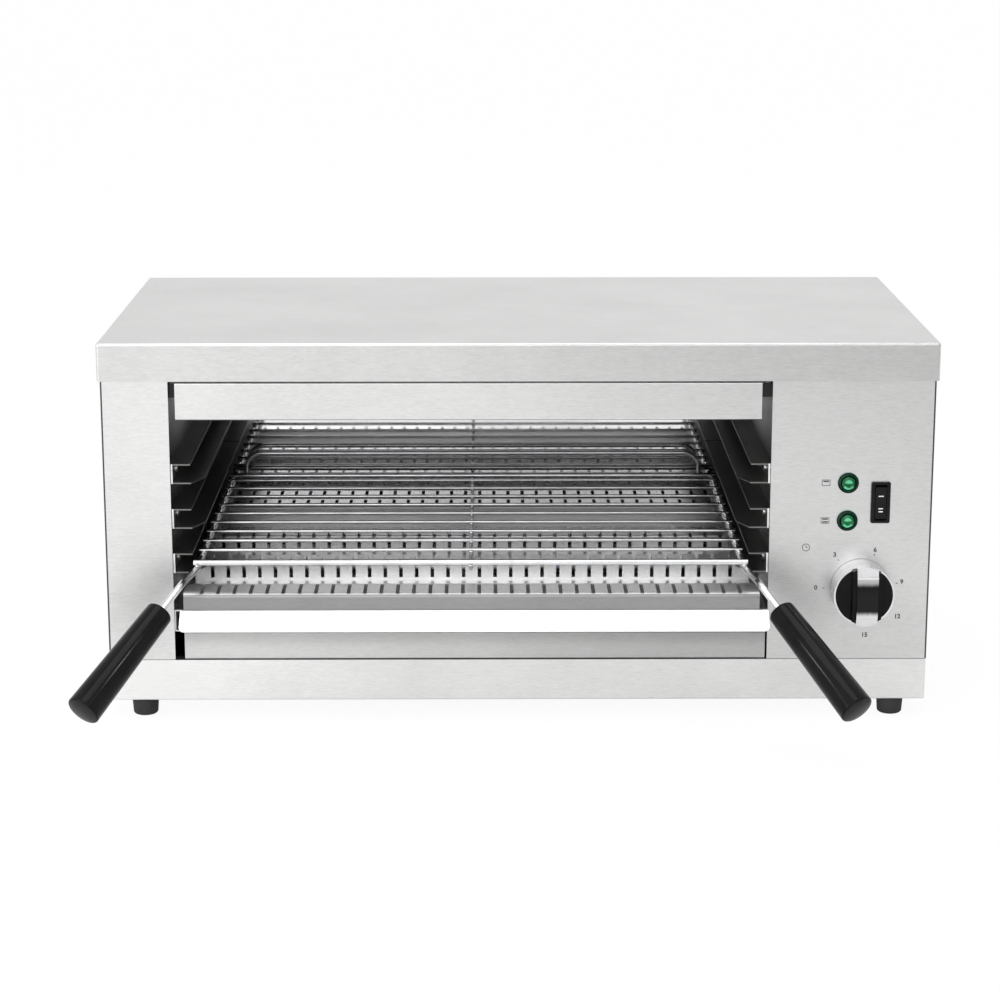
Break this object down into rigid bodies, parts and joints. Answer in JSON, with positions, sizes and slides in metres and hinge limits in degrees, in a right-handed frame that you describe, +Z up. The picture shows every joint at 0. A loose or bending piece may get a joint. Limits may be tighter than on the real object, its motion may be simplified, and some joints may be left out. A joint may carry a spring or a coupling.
{
  "type": "cheese melter",
  "caption": "Counter-top electric grill in a folded steel casing: open cavity with slide-in wire rack, slotted element guard and crumb tray, and a control panel on the right.",
  "frame": {"origin": "middle of the outline at the bottom of the feet, rack pushed in", "axes": "+Z up, the front with the open cavity and the controls faces -Y, +X to the right as seen from the front"},
  "size_m": [0.621, 0.4584, 0.284],
  "materials": {
    "brushed_steel": "stainless steel, brushed",
    "cavity_steel": "stainless steel, satin",
    "bright_steel": "stainless steel, bright",
    "chromed_wire": "chromed steel wire",
    "plated_screw": "zinc-plated steel",
    "black_grip": "moulded phenolic, glossy black",
    "black_rubber": "black rubber, matt",
    "black_plastic": "black plastic, satin",
    "chromed_knob": "chromed, satin",
    "green_lens": "clear green plastic",
    "element_sheath": "nickel-alloy sheath, dull",
    "white_ceramic": "white ceramic, glazed",
    "mineral_wool": "mineral-wool slab",
    "brass_terminal": "brass, bare"
  },
  "bodies": {
    "casing": {"back_panel": "brushed_steel", "back_screws": "plated_screw", "base_pan": "brushed_steel", "cable_gland": "black_plastic", "cavity_back_wall": "cavity_steel", "cavity_left_wall": "cavity_steel", "cavity_right_wall": "cavity_steel", "cavity_roof": "cavity_steel", "control_panel": "brushed_steel", "cover_screws": "plated_screw", "earth_terminal": "brass_terminal", "fascia_brackets": "cavity_steel", "feet": "black_rubber", "foot_bolts": "plated_screw", "gland_nut": "black_plastic", "lamp_bodies": "black_plastic", "lamp_lenses": "green_lens", "lamp_nuts": "plated_screw", "left_front_panel": "brushed_steel", "left_high_runner": "cavity_steel", "left_low_runner": "cavity_steel", "left_lower_rail": "cavity_steel", "left_middle_runner": "cavity_steel", "left_side_panel": "brushed_steel", "lower_elements": "element_sheath", "lower_front_panel": "brushed_steel", "lower_guard": "bright_steel", "lower_insulators": "white_ceramic", "right_high_runner": "cavity_steel", "right_low_runner": "cavity_steel", "right_lower_rail": "cavity_steel", "right_middle_runner": "cavity_steel", "right_side_panel": "brushed_steel", "rocker_housing": "black_plastic", "rocker_pin": "plated_screw", "roof_insulation": "mineral_wool", "runner_screws": "plated_screw", "terminal_block": "white_ceramic", "timer_body": "black_plastic", "timer_screws": "plated_screw", "top_cover": "brushed_steel", "upper_element_hangers": "cavity_steel", "upper_elements": "element_sheath", "upper_fascia": "brushed_steel", "upper_insulators": "white_ceramic"},
    "rack": {"rack_left_rod": "chromed_wire", "rack_right_rod": "chromed_wire", "rack_front_wire": "chromed_wire", "rack_rear_wire": "chromed_wire", "rack_cross_wires": "chromed_wire", "rack_centre_wire": "chromed_wire", "rack_stop_loop": "chromed_wire", "left_grip": "black_grip", "right_grip": "black_grip"},
    "crumb_tray": {"crumb_tray": "bright_steel"},
    "timer_knob": {"timer_knob": "chromed_knob", "timer_shaft": "plated_screw", "knob_insets": "black_plastic"},
    "switch_paddle": {"rocker_paddle": "black_plastic"}
  },
  "joints": [
    {"name": "rack_slide", "type": "slide", "parent": "casing", "child": "rack", "axis": [0, -1, 0], "range_m": [0, 0.22]},
    {"name": "crumb_tray_slide", "type": "slide", "parent": "casing", "child": "crumb_tray", "axis": [0, -1, 0], "range_m": [0, 0.25]},
    {"name": "timer_knob_turn", "type": "hinge", "parent": "casing", "child": "timer_knob", "pos_m": [0.25581, -0.10481, 0.0994], "axis": [0, -1, 0], "range_deg": [0, 263]},
    {"name": "switch_tilt", "type": "hinge", "parent": "casing", "child": "switch_paddle", "pos_m": [0.26861, -0.09081, 0.1646], "axis": [1, 0, 0], "range_deg": [-10, 10]}
  ]
}
